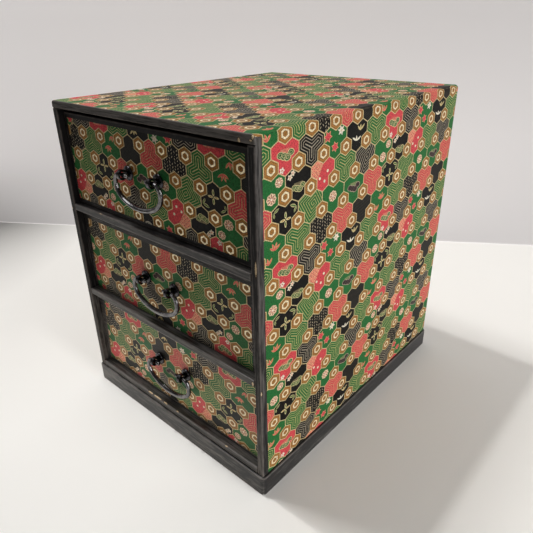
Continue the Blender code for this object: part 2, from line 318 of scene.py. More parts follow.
def group_lattice():
    """Finds the cell and the trefoil under each point of the print."""
    recipe, given, leave = new_group(
        "print lattice",
        [("Across", "Float", 0.0), ("Up", "Float", 0.0)],
        [("Rosette", "Float", None), ("Cell distance", "Float", None),
         ("Cell radius", "Float", None),
         ("Trefoil x", "Float", None), ("Trefoil y", "Float", None),
         ("Trefoil inside", "Float", None), ("Trefoil number", "Float", None)])
    x = given["Across"]
    y = given["Up"] * ROW_STEP
    double_row = 2 * ROW_STEP
    # Even rows have cells at whole numbers, odd rows half a cell further on.
    even_column = (x + 0.5).floor()
    even_row = (y / double_row + 0.5).floor()
    even_x = x - even_column
    even_y = y - even_row * double_row
    odd_column = x.floor()
    odd_row = (y / double_row).floor()
    odd_x = x - odd_column - 0.5
    odd_y = y - (odd_row + 0.5) * double_row
    is_even = (even_x * even_x + even_y * even_y).math(
        "LESS_THAN", odd_x * odd_x + odd_y * odd_y)
    cell_x = recipe.choose(is_even, odd_x, even_x).size()
    cell_y = recipe.choose(is_even, odd_y, even_y).size()
    cell_distance = cell_x.most(cell_x * 0.5 + cell_y * ROW_STEP)
    cell_radius = recipe.length(recipe.vector(cell_x, cell_y))
    row = recipe.choose(is_even, odd_row, even_row)
    even_parity = (even_column + even_row).wrap(2.0)
    rosette = is_even * even_parity.flip()
    # The lone lobe of a trefoil lies in an even row where column and row make an odd sum.
    odd_lobe_column = odd_column + (odd_column + odd_row).wrap(2.0).flip()
    column = recipe.choose(is_even, odd_lobe_column, even_column)
    trefoil_x = x - column
    trefoil_y = y - row * double_row - TREFOIL_RISE
    along = ((column + 1.0) * 0.5).floor() + 3.0
    number = along.wrap(float(ROW_LENGTH)) + row.wrap(float(ROW_COUNT)) * float(ROW_LENGTH)
    # Folding the three lobes onto the lone one gives the distance in from the outline.
    sector = 2 * math.pi / 3
    angle = recipe.math("ARCTAN2", trefoil_x, trefoil_y * -1.0)
    folded = (angle + sector / 2).wrap(sector) - sector / 2
    reach = recipe.length(recipe.vector(trefoil_x, trefoil_y))
    lobe_x = (folded.math("SINE") * reach).size()
    lobe_y = folded.math("COSINE") * reach - TREFOIL_RISE
    inside = 0.5 - lobe_x.most(lobe_x * 0.5 + lobe_y * ROW_STEP)
    for name, signal in (
        ("Rosette", rosette), ("Cell distance", cell_distance), ("Cell radius", cell_radius),
        ("Trefoil x", trefoil_x), ("Trefoil y", trefoil_y),
        ("Trefoil inside", inside), ("Trefoil number", number),
    ):
        recipe.feed(leave.inputs[name], signal)
    return recipe.tree


def petals(recipe, x, y, centre, radius, count, depth, turn=0.0):
    """Distance from a round-petalled flower's middle as a share of its outline."""
    px = x - centre[0]
    py = y - centre[1]
    angle = recipe.math("ARCTAN2", py, px)
    reach = recipe.length(recipe.vector(px, py))
    wave = (angle * float(count) + turn).math("COSINE")
    return reach / (wave * (radius * depth) + radius * (1 - depth))


def star(recipe, x, y, centre, radius, points, depth, turn=0.0):
    """Distance from a pointed flower's middle as a share of its outline."""
    px = x - centre[0]
    py = y - centre[1]
    angle = recipe.math("ARCTAN2", py, px)
    dip = (angle * (points / 2) + turn).math("SINE").size()
    return recipe.length(recipe.vector(px, py)) / (radius - dip * (radius * depth))


def ellipse(recipe, x, y, centre, half_width, half_height, turn=0.0):
    """Distance from an ellipse's middle as a share of its outline. The turn is in degrees."""
    px = x - centre[0]
    py = y - centre[1]
    if turn:
        c, s = math.cos(math.radians(turn)), math.sin(math.radians(turn))
        px, py = px * c + py * s, py * c - px * s
    return recipe.length(recipe.vector(px / half_width, py / half_height))


def nearest(shapes):
    """The least of several distances."""
    least = shapes[0]
    for shape in shapes[1:]:
        least = least.least(shape)
    return least


def leaf(x, y, base, tip, half_width):
    """Distance from a pointed leaf's rib as a share of the leaf's half width there."""
    run = Vector(tip) - Vector(base)
    px = x - base[0]
    py = y - base[1]
    along = (px * run.x + py * run.y) / run.length_squared
    aside = ((px * run.y - py * run.x) / run.length).size()
    bulge = (along * (1.0 - along)).most(0.0) * (4.0 * half_width) + 0.0001
    return aside / bulge


def spray(x, y, base, tips, half_width):
    """Leaves that spring from one point."""
    return nearest([leaf(x, y, base, tip, half_width) for tip in tips])


class Sheet:
    """The print on one sheet while its inks are laid, one motif after another."""

    def __init__(self, recipe, found):
        self.recipe = recipe
        self.x, self.y = found["Trefoil x"], found["Trefoil y"]
        self.inside = found["Trefoil inside"]
        self.number = found["Trefoil number"]
        self.names = [name for row in TREFOILS for name in row]
        self.masks = {}
        self.ink = self.by_ground(GROUNDS)
        self.line_ink = self.by_ground(LINE_INKS)
        self.gold = None

    def by_ground(self, colours):
        """A colour for each trefoil, by the colour that it is printed on."""
        share = (self.number + 0.5) / float(len(self.names))
        return self.recipe.steps(share, [rgba(colours[name.split()[0]]) for name in self.names])

    def on(self, *names):
        """1 on the trefoils with these names."""
        if names not in self.masks:
            mask = None
            for i, name in enumerate(self.names):
                if name in names:
                    one = self.number.equals(float(i))
                    mask = one if mask is None else mask + one
            self.masks[names] = mask
        return self.masks[names]

    def lay(self, mask, colour, *names, gilt=0.0):
        """Prints a colour where the mask is 1, only on the trefoils with these names."""
        cover = mask * self.on(*names)
        self.ink = self.recipe.paint(cover, self.ink, colour)
        if gilt:
            shine = cover * gilt
            self.gold = shine if self.gold is None else self.gold.most(shine)


def print_lines(sheet):
    """Outlines nested in the trefoil, three from its edge to the rib of each lobe."""
    place = (sheet.inside + LINE_STEP / 2).wrap(LINE_STEP) - LINE_STEP / 2
    lines = place.size().below(LINE_HALF, LINE_EDGE) * sheet.inside.above(LINE_STEP / 2)
    sheet.lay(lines, sheet.line_ink, "green lines", "black lines", gilt=0.5)
    sheet.lay(lines * 0.85, sheet.line_ink, "red lines", gilt=0.3)


def print_frets(sheet):
    """A square coil that lies at 30 degrees. Its upper half is half a step off its lower half."""
    along, aside = LEAN
    u = sheet.x * along + sheet.y * aside - 0.20
    v = sheet.y * along - sheet.x * aside + 0.04
    upper = v.above(0.0, 0.001)
    square = (u - upper * (FRET_STEP / 2)).size().most(v.size()) + upper * (FRET_STEP / 2)
    lines = (square.wrap(FRET_STEP) - FRET_STEP / 2).size().below(LINE_HALF, LINE_EDGE)
    sheet.lay(lines, sheet.line_ink, "green fret", "black fret", gilt=0.5)


def print_dashes(sheet):
    """Short strokes in staggered rows that lean to one side and the other."""
    x, y = sheet.x, sheet.y
    odd = (x / DASH_STEP).floor().wrap(2.0)
    dash_y = (y + odd * (DASH_STEP / 2)).wrap(DASH_STEP) - DASH_STEP / 2
    lean = (odd - 0.5) * dash_y
    dash_x = x.wrap(DASH_STEP) - DASH_STEP / 2 + lean
    strokes = dash_x.size().below(0.024, LINE_EDGE) * dash_y.size().below(0.065, LINE_EDGE)
    gap = sheet.recipe.noise(sheet.recipe.vector(x, y, sheet.number), 5.0, 0.0).above(0.40, 0.05)
    sheet.lay(strokes * gap, (0.82, 0.76, 0.64), "black dashes", gilt=0.4)
    along, aside = LEAN
    slant = (x * aside + y * along).wrap(NEEDLE_STEP) - NEEDLE_STEP / 2
    fine = slant.size().below(0.014, LINE_EDGE)
    sheet.lay(fine * 0.10, sheet.line_ink, "black hatch")


def print_cloud(sheet, name, centre, size, fill, rim, folds):
    """A cloud of four lobes, each with a pale rim and a fold, and needles over its top."""
    recipe, x, y = sheet.recipe, sheet.x, sheet.y
    lobes = []
    for across, up, half_width, half_height in CLOUD_LOBES:
        place = (centre[0] + across * size, centre[1] + up * size)
        lobes.append(ellipse(recipe, x, y, place, half_width * size, half_height * size))
    cloud = lobes[0]
    creases = lobes[0].near(0.50, 0.09, 0.08)
    for lobe in lobes[1:]:
        cloud = cloud.least(lobe)
        creases = creases.most(lobe.near(0.95, 0.08, 0.08)).most(lobe.near(0.45, 0.09, 0.08))
    needle_x = (x - centre[0]).wrap(NEEDLE_STEP) - NEEDLE_STEP / 2
    needles = needle_x.size().below(0.016, LINE_EDGE)
    height = y - (centre[1] + 0.14 * size)
    band = height.above(0.0, 0.02) * height.below(0.20 * size, 0.05)
    band = band * (x - centre[0]).size().below(0.38 * size, 0.05)
    sheet.lay(needles * band * 0.8, GOLD, name, gilt=0.5)
    sheet.lay(cloud.below(1.12, 0.06), rim, name, gilt=0.3)
    sheet.lay(cloud.below(0.90, 0.06), fill, name)
    sheet.lay(creases * cloud.below(0.90, 0.06) * folds, rim, name, gilt=0.3)


def print_blossoms(sheet):
    """Two red stars and a white one, and single white blossoms by the clouds."""
    recipe, x, y = sheet.recipe, sheet.x, sheet.y
    left = star(recipe, x, y, (-0.68, 0.32), 0.34, 6, 0.42, 0.3)
    low = star(recipe, x, y, (-0.03, -0.39), 0.30, 6, 0.40, 1.0)
    white = star(recipe, x, y, (0.48, 0.50), 0.32, 6, 0.45, 0.6)
    red = left.least(low)
    sheet.lay(red.below(1.12, 0.08), (0.92, 0.66, 0.52), "green blossom", gilt=0.3)
    sheet.lay(red.below(0.88, 0.08), RED, "green blossom")
    sheet.lay(white.below(1.0, 0.08), (0.97, 0.92, 0.84), "green blossom")
    sheet.lay(white.below(0.25, 0.1), GOLD, "green blossom")
    lone = petals(recipe, x, y, (-0.24, -0.78), 0.19, 5, 0.18)
    sheet.lay(lone.below(1.0, 0.08), (0.98, 0.93, 0.86), "red cloud")
    sheet.lay(lone.below(0.34, 0.12), (0.88, 0.55, 0.45), "red cloud")
    high = petals(recipe, x, y, (-0.44, 0.62), 0.18, 5, 0.18)
    side = petals(recipe, x, y, (-0.66, 0.42), 0.19, 5, 0.18, 1.0)
    pair = high.least(side)
    sheet.lay(pair.below(1.0, 0.08), (0.97, 0.91, 0.80), "black cloud")
    sheet.lay(pair.below(0.34, 0.12), (0.90, 0.62, 0.50), "black cloud")


def print_sprays(sheet):
    """Two sprays of pointed leaves, white and gold on black, salmon on green."""
    x, y = sheet.x, sheet.y
    tips = ((-0.42, -0.17), (-0.03, -0.10), (0.40, -0.20))
    low = spray(x, y, (0.0, -0.44), tips, 0.065)
    tips = ((0.04, 0.48), (0.33, 0.55), (0.72, 0.52))
    high = spray(x, y, (0.31, 0.16), tips, 0.065)
    sheet.lay(low.below(1.0, 0.2), (0.98, 0.95, 0.86), "black sprays")
    sheet.lay(high.below(1.0, 0.2), (0.86, 0.78, 0.56), "black sprays", gilt=0.5)
    tips = ((-0.16, 0.20), (0.02, 0.42), (0.36, 0.44), (0.62, 0.24))
    upper = spray(x, y, (0.20, -0.06), tips, 0.06)
    tips = ((-0.62, -0.48), (-0.36, -0.34), (0.0, -0.40))
    lower = spray(x, y, (-0.26, -0.80), tips, 0.06)
    both = upper.least(lower)
    sheet.lay(both.below(1.35, 0.2), (0.80, 0.76, 0.50), "green sprays", gilt=0.4)
    sheet.lay(both.below(0.85, 0.2), (0.90, 0.42, 0.38), "green sprays")


def print_roundels(sheet):
    """Round flower heads: petals of salmon and cream round a pale eye."""
    for name, places in ROUNDELS.items():
        for centre, radius in places:
            rim = petals(sheet.recipe, sheet.x, sheet.y, centre, radius, 8, 0.05)
            face = petals(sheet.recipe, sheet.x, sheet.y, centre, radius * 0.72, 8, 0.45, 0.4)
            sheet.lay(rim.below(1.0, 0.06), (0.97, 0.84, 0.70), name)
            sheet.lay(face.near(0.98, 0.20, 0.1), (0.42, 0.26, 0.18), name)
            sheet.lay(face.below(0.72, 0.12), (0.90, 0.52, 0.46), name)
            sheet.lay(rim.below(0.22, 0.1), (1.00, 0.95, 0.86), name)


def print_plum(sheet):
    """Three white dots, and a lobe filled with scales of small arcs."""
    recipe, x, y = sheet.recipe, sheet.x, sheet.y
    odd = (y / SCALE_STEP).floor().wrap(2.0)
    scale_x = (x + odd * SCALE_STEP).wrap(2 * SCALE_STEP) - SCALE_STEP
    scale_y = y.wrap(SCALE_STEP)
    reach = recipe.length(recipe.vector(scale_x, scale_y))
    arcs = reach.near(0.140, 0.024, LINE_EDGE).most(reach.near(0.065, 0.020, LINE_EDGE))
    lobe = (y * 0.55 - x).above(0.30, 0.04)
    sheet.lay(arcs * lobe, (0.97, 0.72, 0.56), "red plum", gilt=0.4)
    for place in PLUM_DOTS:
        dot = ellipse(recipe, x, y, place, 0.085, 0.095)
        sheet.lay(dot.below(1.0, 0.2), (0.98, 0.96, 0.84), "red plum")


def print_cross(sheet):
    """A cross of four petals, with small leaves in the trefoil's upper corners."""
    recipe, x, y = sheet.recipe, sheet.x, sheet.y
    upright = ellipse(recipe, x, (y + 0.20).size(), (0.02, 0.27), 0.075, 0.19)
    level = ellipse(recipe, (x - 0.02).size(), y, (0.22, -0.20), 0.18, 0.07)
    leaves = nearest([leaf(x, y, base, tip, half_width) for base, tip, half_width in (
        ((0.86, 0.36), (0.36, 0.56), 0.09), ((0.86, 0.38), (0.66, 0.02), 0.07),
        ((-0.86, 0.42), (-0.46, 0.64), 0.07), ((-0.86, 0.44), (-0.80, 0.12), 0.06),
    )])
    shapes = upright.least(level).least(leaves)
    sheet.lay(shapes.below(1.1, 0.1), PALE_GOLD, "black cross", gilt=0.4)
    sheet.lay(upright.least(leaves).below(0.62, 0.12), (0.35, 0.50, 0.26), "black cross")
    sheet.lay(level.below(0.45, 0.15), OCHRE, "black cross")


def print_rosette(recipe, distance, round_distance):
    """A rosette cell: an ochre hexagon with a brown line, a pale ring and a brown dot."""
    ring = distance * 0.85 + round_distance * 0.15
    cell = recipe.paint(distance.near(0.435, 0.018, LINE_EDGE) * 0.55, OCHRE, BROWN)
    cell = recipe.paint(ring.near(RING_MIDDLE, RING_HALF + 0.028, LINE_EDGE), cell, BROWN)
    cell = recipe.paint(ring.near(RING_MIDDLE, RING_HALF, LINE_EDGE), cell, CREAM)
    return recipe.paint(ring.below(0.06, 0.04) * 0.4, cell, BROWN)


def group_print():
    """The inks of the printed paper, and where the gold lies."""
    lattice = group_lattice()
    recipe, given, leave = new_group(
        "printed paper",
        [("Across", "Float", 0.0), ("Up", "Float", 0.0)],
        [("Ink", "Color", None), ("Gold", "Float", None)])
    found = place_group(recipe, lattice, Across=given["Across"], Up=given["Up"])
    sheet = Sheet(recipe, found)
    print_lines(sheet)
    print_frets(sheet)
    print_dashes(sheet)
    for name, centre, size, fill, rim, folds in CLOUDS:
        print_cloud(sheet, name, centre, size, fill, rim, folds)
    print_blossoms(sheet)
    print_sprays(sheet)
    print_roundels(sheet)
    print_plum(sheet)
    print_cross(sheet)
    distance = found["Cell distance"]
    rosette = found["Rosette"]
    cell = print_rosette(recipe, distance, found["Cell radius"])
    ink = recipe.paint(rosette, sheet.ink, cell)
    outline = distance.above(0.5 - OUTLINE_HALF, LINE_EDGE) * rosette
    outline = outline.most(sheet.inside.below(OUTLINE_HALF, LINE_EDGE) * rosette.flip())
    recipe.feed(leave.inputs["Ink"], recipe.paint(outline, ink, GOLD))
    ring = distance.near(RING_MIDDLE, RING_HALF, 0.03)
    gold = (sheet.gold * 0.6 * rosette.flip()).most(rosette * ring)
    recipe.feed(leave.inputs["Gold"], gold.most(outline * 0.4))
    return recipe.tree


def group_edges():
    """How far a point of a board lies from the nearest edge of the board's box."""
    recipe, given, leave = new_group(
        "distance from edges",
        [("Place", "Vector", None), ("Low corner", "Vector", None),
         ("High corner", "Vector", None)],
        [("Distance", "Float", None)])
    low = recipe.vector_math("ABSOLUTE", recipe.vector_math(
        "SUBTRACT", given["Place"], given["Low corner"]))
    high = recipe.vector_math("ABSOLUTE", recipe.vector_math(
        "SUBTRACT", given["High corner"], given["Place"]))
    x, y, z = recipe.parts(recipe.vector_math("MINIMUM", low, high))
    recipe.feed(leave.inputs["Distance"], x.least(y).most(x.most(y).least(z)))
    return recipe.tree


def group_wear():
    """Rubbed edges and small chips that bare the board under the paper."""
    recipe, given, leave = new_group(
        "edge wear",
        [("Place", "Vector", None), ("Edge distance", "Float", 1.0),
         ("Rub width", "Float", 0.0008), ("Chips", "Float", 0.5)],
        [("Rub", "Float", None), ("Chip", "Float", None)])
    distance = given["Edge distance"]
    coarse = recipe.noise(given["Place"], 260.0, 3.0, 0.6)
    fine = recipe.noise(given["Place"], 1400.0, 2.0, 0.6)
    reach = distance / given["Rub width"]
    rub = (reach * -1.0 + coarse * 1.6 + 0.15).clamped()
    spots = recipe.noise(given["Place"], 190.0, 4.0, 0.65)
    chip = (spots * 1.35 - reach * 0.35 - (1.32 - given["Chips"] * 0.5)) * 14.0 + fine * 0.8
    recipe.feed(leave.inputs["Rub"], rub)
    recipe.feed(leave.inputs["Chip"], chip.clamped())
    return recipe.tree


def group_fibre():
    """Fine paper fibre and slow unevenness, as a height, and the ink's speckle."""
    recipe, given, leave = new_group(
        "paper fibre",
        [("Place", "Vector", None)],
        [("Height", "Float", None), ("Speckle", "Float", None), ("Mottle", "Float", None)])
    stretched = recipe.vector_math("MULTIPLY", given["Place"], (1.0, 1.0, 1.6))
    fibre = recipe.noise(stretched, 2600.0, 3.0, 0.65, 0.6)
    slow = recipe.noise(given["Place"], 90.0, 2.0, 0.5)
    recipe.feed(leave.inputs["Height"], fibre * 0.6 + slow * 2.0)
    recipe.feed(leave.inputs["Speckle"], recipe.noise(given["Place"], 2400.0, 2.0, 0.7))
    recipe.feed(leave.inputs["Mottle"], recipe.noise(given["Place"], 1100.0, 2.0, 0.7))
    return recipe.tree


def group_black():
    """Black paper: streaks drawn along the strip, as on wood, and pale scuffs."""
    recipe, given, leave = new_group(
        "black paper",
        [("Place", "Vector", None), ("Grain", "Vector", (1.0, 1.0, 1.0)),
         ("Grey", "Float", 0.5), ("Rub", "Float", 0.0), ("Chip", "Float", 0.0)],
        [("Colour", "Color", None), ("Roughness", "Float", None), ("Height", "Float", None)])
    along = recipe.vector_math("MULTIPLY", given["Place"], given["Grain"])
    streak = recipe.noise(along, 1300.0, 4.0, 0.7)
    broad = recipe.noise(along, 330.0, 2.0, 0.5)
    cloud = recipe.noise(given["Place"], 70.0, 3.0, 0.55)
    light = streak * 3.2 + broad * 1.2 + cloud * 0.6 - 2.5 + given["Grey"]
    colour = recipe.paint(light.clamped(), BLACK_PAPER, GREY_STREAK)
    colour = recipe.paint(given["Rub"] * 0.50, colour, RUBBED_PAPER)
    ragged = given["Chip"]
    torn = recipe.paint(ragged.above(0.75, 0.3), TORN_BOARD, RAW_BOARD)
    colour = recipe.paint(ragged.above(0.25, 0.2), colour, torn)
    recipe.feed(leave.inputs["Colour"], colour)
    recipe.feed(leave.inputs["Roughness"], ragged * 0.4 + streak * 0.22 + 0.30)
    recipe.feed(leave.inputs["Height"], streak + broad - ragged * 1.5)
    return recipe.tree


def start_material(name):
    """A material with its own Principled shader, and a recipe for what feeds it."""
    material = bpy.data.materials.new(name)
    material.use_nodes = True
    recipe = Recipe(material.node_tree)
    shader = material.node_tree.nodes["Principled BSDF"]
    place = recipe.node("ShaderNodeTexCoord").outputs["Object"]
    return material, recipe, shader, Signal(recipe, place)


def add_bump(recipe, shader, height, distance):
    bump = recipe.node("ShaderNodeBump")
    bump.inputs["Distance"].default_value = distance
    bump.inputs["Strength"].default_value = 1.0
    recipe.feed(bump.inputs["Height"], height)
    recipe.tree.links.new(bump.outputs["Normal"], shader.inputs["Normal"])


def worn(recipe, place, low, high, chips=0.5):
    """The wear of a board, from how far each point lies from the edges of its box."""
    edges = place_group(recipe, GROUPS["edges"], Place=place, Low_corner=low, High_corner=high)
    return place_group(
        recipe, GROUPS["wear"], Place=place, Edge_distance=edges["Distance"],
        Rub_width=RUB_WIDTH, Chips=chips)


def spot_mask(recipe, place, spots):
    """Ragged spots where the paper is gone. Each is a middle and a half size along x, y and z."""
    mask = None
    rough = recipe.noise(place, 1500.0, 3.0, 0.7)
    for middle, half_size in spots:
        offset = recipe.vector_math("SUBTRACT", place, middle)
        distance = recipe.length(recipe.vector_math("DIVIDE", offset, half_size))
        one = distance + rough * 1.3 - 0.65
        mask = one if mask is None else mask.least(one)
    return mask.below(1.0, 0.5)


def greyness(recipe, place, grey):
    """How grey the black paper is: a number, or a function of where it lies."""
    return grey(recipe, *recipe.parts(place)) if callable(grey) else grey


def stile_painted_shading(recipe, x, y, z):
    """The right upright is black at the top and grey towards the foot: painted light and shade,
    the foot lit by the table.
    """
    return (STILE_BLACK - z) * STILE_FADE


def left_stile_painted_shading(recipe, x, y, z):
    """The left upright stays black further down: painted shade."""
    return (LEFT_STILE_BLACK - z) * STILE_FADE


def strip_painted_light(recipe, x, y, z):
    """The strip turned onto the sides turns grey towards its head instead: painted light, brighter
    up high where more light falls.
    """
    return z * STRIP_FADE + STRIP_GREY


def plinth_grey(recipe, x, y, z):
    """The plinth is greyer on its front than round its sides."""
    return y.below(front_edge, 0.0008) * PLINTH_FRONT_GREY + PLINTH_GREY


def black_paper(name, grain, low, high, chips=0.5, grey=0.5, spots=()):
    """Black paper on one board, brushed along its length, worn at the board's edges."""
    material, recipe, shader, place = start_material(name)
    wear = worn(recipe, place, low, high, chips=chips)
    chip = wear["Chip"]
    if spots:
        chip = chip.most(spot_mask(recipe, place, spots))
    black = place_group(
        recipe, GROUPS["black"], Place=place, Grain=grain, Grey=greyness(recipe, place, grey),
        Rub=wear["Rub"], Chip=chip)
    recipe.feed(shader.inputs["Base Color"], black["Colour"])
    recipe.feed(shader.inputs["Roughness"], black["Roughness"])
    shader.inputs["Specular IOR Level"].default_value = BLACK_SHEEN
    add_bump(recipe, shader, black["Height"], PAPER_GRIT)
    return material


def printed_board(
        name, across, up, panel, grain, low, high, spots=(), grey=stile_painted_shading, sheen=0.08,
        foil=0.22):
    """Printed paper where the panel mask says so, black paper round it.

    Across and up turn the place's x, y, z into the print's cells and rows. Sheen is how much
    the paper mirrors, foil how much of its gold is bare metal.
    """
    material, recipe, shader, place = start_material(name)
    x, y, z = recipe.parts(place)
    printed = place_group(
        recipe, GROUPS["print"], Across=across(recipe, x, y, z), Up=up(recipe, x, y, z))
    wear = worn(recipe, place, low, high)
    chip = wear["Chip"]
    if spots:
        chip = chip.most(spot_mask(recipe, place, spots))
    black = place_group(
        recipe, GROUPS["black"], Place=place, Grain=grain, Grey=greyness(recipe, place, grey),
        Rub=wear["Rub"], Chip=chip)
    fibre = place_group(recipe, GROUPS["fibre"], Place=place)
    dark_fleck = (fibre["Speckle"] * 4.2 - 1.8).clamped(0.55)
    inked = recipe.paint(dark_fleck, printed["Ink"], DARK_FLECK)
    pale_fleck = (fibre["Mottle"] * 3.0 - 1.45).clamped(0.03)
    inked = recipe.paint(pale_fleck, inked, PALE_FLECK)
    inked = recipe.paint(wear["Rub"] * 0.15, inked, RUBBED_PRINT)
    inked = recipe.paint(chip, inked, RAW_BOARD)
    mask = panel(recipe, x, y, z)
    recipe.feed(shader.inputs["Base Color"], recipe.paint(mask, black["Colour"], inked))
    gloss = 0.48 - printed["Gold"] * 0.16 + fibre["Mottle"] * 0.08
    recipe.feed(shader.inputs["Roughness"], recipe.choose(mask, black["Roughness"], gloss))
    recipe.feed(shader.inputs["Metallic"], printed["Gold"] * mask * foil)
    shader.inputs["Specular IOR Level"].default_value = sheen
    height = recipe.choose(mask, black["Height"], fibre["Height"] * 0.5 + printed["Gold"] * 0.35)
    add_bump(recipe, shader, height, PAPER_GRIT)
    return material


def dark_metal(name, ground, rubbed):
    """Blackened metal, a little brighter in patches."""
    material, recipe, shader, place = start_material(name)
    patch = recipe.noise(place, 420.0, 3.0, 0.6)
    pits = recipe.noise(place, 2400.0, 2.0, 0.6)
    bright = (patch * 2.2 - 0.85).clamped()
    recipe.feed(shader.inputs["Base Color"], recipe.paint(bright, ground, rubbed))
    recipe.feed(shader.inputs["Roughness"], pits * 0.14 + 0.10)
    shader.inputs["Metallic"].default_value = 1.0
    add_bump(recipe, shader, pits, METAL_GRIT)
    return material


GROUPS = {
    "print": group_print(),
    "edges": group_edges(),
    "wear": group_wear(),
    "fibre": group_fibre(),
    "black": group_black(),
}


# Where the papers lie

case_low, case_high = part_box("case_right_side")
front_edge = case_low.y
rear_edge = case_high.y
half_width = case_high.x
top_low, top_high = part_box("case_top")
top_height = top_high.z
plinth_low, plinth_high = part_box("plinth_front")
plinth_height = plinth_high.z

WRAP_ORIGIN = (-0.01423, 0.05968)  # y and z of a rosette on the right side
# The uprights' black tops and grey feet below are painted light and shade.
STILE_BLACK = 0.090                # height from which up the right upright is black
LEFT_STILE_BLACK = 0.060           # the same for the left one
STILE_FADE = 9.0                   # how fast they turn grey below it, for each metre
# The strip's grey upwards is painted light.
STRIP_FADE = 2.0                   # the strip on the sides turns grey upwards from this
STRIP_GREY = 0.15
PLINTH_GREY = -0.12                # the plinth all round, and what its front has more
PLINTH_FRONT_GREY = 0.30
BINDING = 0.0029                   # black paper turned onto the sides from the front edge
TOP_MARGIN = 0.0005                # bare strip at the front of the top
TURN_HEIGHT = 0.1359               # above this the print starts at the top's own margin
PAPER = 0.00006                    # how far the papers stand out from the board
SUNK = 0.0001                      # how far a sheet's ends lie under the surface
PAPER_INSET = 0.0005               # from a board's end to where the paper lies flat
PAPER_FOOT = 0.0093
CUT_EDGE = 0.00012                 # how softly a sheet's cut edge shows
FACE_EDGE = 0.0002                 # and how softly a face's print ends at the board's corner
FACE_DEPTH = 0.0005                # how deep into a board a face's print is laid
BACK_DEPTH = 0.0006
FRONT_DEPTH = 0.0004
TURN_RADIUS = 0.0015               # where the paper turns over the top's long edges
TURN_STEPS = 8
PLINTH_CORNER = 0.0018
PLINTH_EDGE = 0.00035
BAND_FOOT = 0.0003                 # height at which the band round the plinth begins
BAND_TURN = 0.0012                 # how far it is turned in over the plinth's top
CORNER_STEPS = 6
EDGE_STEPS = 4

# How the black paper's streaks are drawn out: least along the way that they run
ALONG_X = (0.06, 1.0, 1.0)
ALONG_Y = (1.0, 0.06, 1.0)
ALONG_Z = (1.0, 1.0, 0.06)
NO_GRAIN = (1.0, 1.0, 1.0)
FRONT_GRAIN = (0.12, 1.0, 1.0)
BOX_GRAIN = (1.0, 0.12, 1.0)
BAND_GRAIN = (0.08, 0.08, 0.6)


def wrap_across(recipe, x, y, z):
    return (y - WRAP_ORIGIN[0]) / CELL_WIDTH


def wrap_up(recipe, x, y, z):
    """One sheet runs up the right side, over the top and down the left side."""
    side = x.math("SIGN")
    run = half_width + top_height - WRAP_ORIGIN[1] - x - side * (top_height - z)
    return run / ROW_HEIGHT


def side_panel(recipe, x, y, z):
    """The outer faces behind the black binding, and the turned edge of the top."""
    turned = z.above(top_height - TURN_RADIUS - PAPER_INSET, FACE_EDGE)
    outer = x.size().above(half_width - FACE_DEPTH, FACE_EDGE).most(turned)
    margin = recipe.choose(z.above(TURN_HEIGHT, FACE_EDGE), BINDING, TOP_MARGIN)
    return outer * (y - margin).above(front_edge, CUT_EDGE)


def top_panel(recipe, x, y, z):
    """All of the top but its lower face and a strip at its front."""
    upper = z.above(top_low.z + FACE_DEPTH, FACE_EDGE)
    return upper * y.above(front_edge + TOP_MARGIN, CUT_EDGE)


def back_across(recipe, x, y, z):
    return x * (-1 / CELL_WIDTH)


def back_up(recipe, x, y, z):
    return (z - WRAP_ORIGIN[1]) / ROW_HEIGHT


def back_panel(recipe, x, y, z):
    return y.above(rear_edge - BACK_DEPTH, FACE_EDGE)


def give(node, material):
    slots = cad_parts[node].data.materials
    slots.clear()
    slots.append(material)


def add_object(name, data):
    made = bpy.data.objects.new(name, data)
    bpy.context.scene.collection.objects.link(made)
    return made


def mm(*values):
    return tuple(value / 1000 for value in values)


# Chips and scuffs seen on the chest, each its middle and its half size
TOP_CHIPS = (
    (mm(49.2, -65.3, 134.5), mm(0.5, 0.4, 0.8)),
    (mm(53.6, -65.3, 135.0), mm(0.6, 0.4, 0.25)),
    (mm(54.4, -65.3, 136.0), mm(0.4, 0.5, 0.7)),
)
RIGHT_SIDE_CHIPS = (
    (mm(54.2, -65.3, 96.3), mm(0.40, 0.4, 2.6)),
    (mm(55.0, -65.1, 48.7), mm(0.22, 0.3, 0.9)),
)
LEFT_SIDE_CHIPS = (
    (mm(-54.6, -65.3, 91.6), mm(0.4, 0.4, 0.7)),
)
UPPER_SHELF_CHIPS = (
    (mm(-31.8, -65.2, 94.2), mm(1.2, 0.25, 0.15)),
)
LOWER_SHELF_CHIPS = (
    (mm(51.2, -65.3, 51.3), mm(0.5, 0.4, 0.8)),
)
BOTTOM_CHIPS = (
    (mm(-14.2, -65.3, 11.6), mm(1.8, 0.5, 0.42)),
    (mm(-9.0, -65.3, 11.6), mm(3.1, 0.5, 0.42)),
    (mm(-3.4, -65.3, 11.6), mm(1.5, 0.5, 0.38)),
    (mm(4.9, -65.3, 11.6), mm(0.7, 0.4, 0.42)),
    (mm(35.2, -65.3, 11.6), mm(0.8, 0.4, 0.38)),
)

for node, spots, grey in (
    ("case_left_side", LEFT_SIDE_CHIPS, left_stile_painted_shading),
    ("case_right_side", RIGHT_SIDE_CHIPS, stile_painted_shading),
):
    low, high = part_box(node)
    give(node, printed_board(
        node, wrap_across, wrap_up, side_panel, ALONG_Z, low, high, spots, grey))
give("case_top", printed_board(
    "case_top", wrap_across, wrap_up, top_panel, ALONG_X, top_low, top_high, TOP_CHIPS, grey=0.55))
low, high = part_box("case_back")
give("case_back", printed_board(
    "case_back", back_across, back_up, back_panel, NO_GRAIN, low, high))
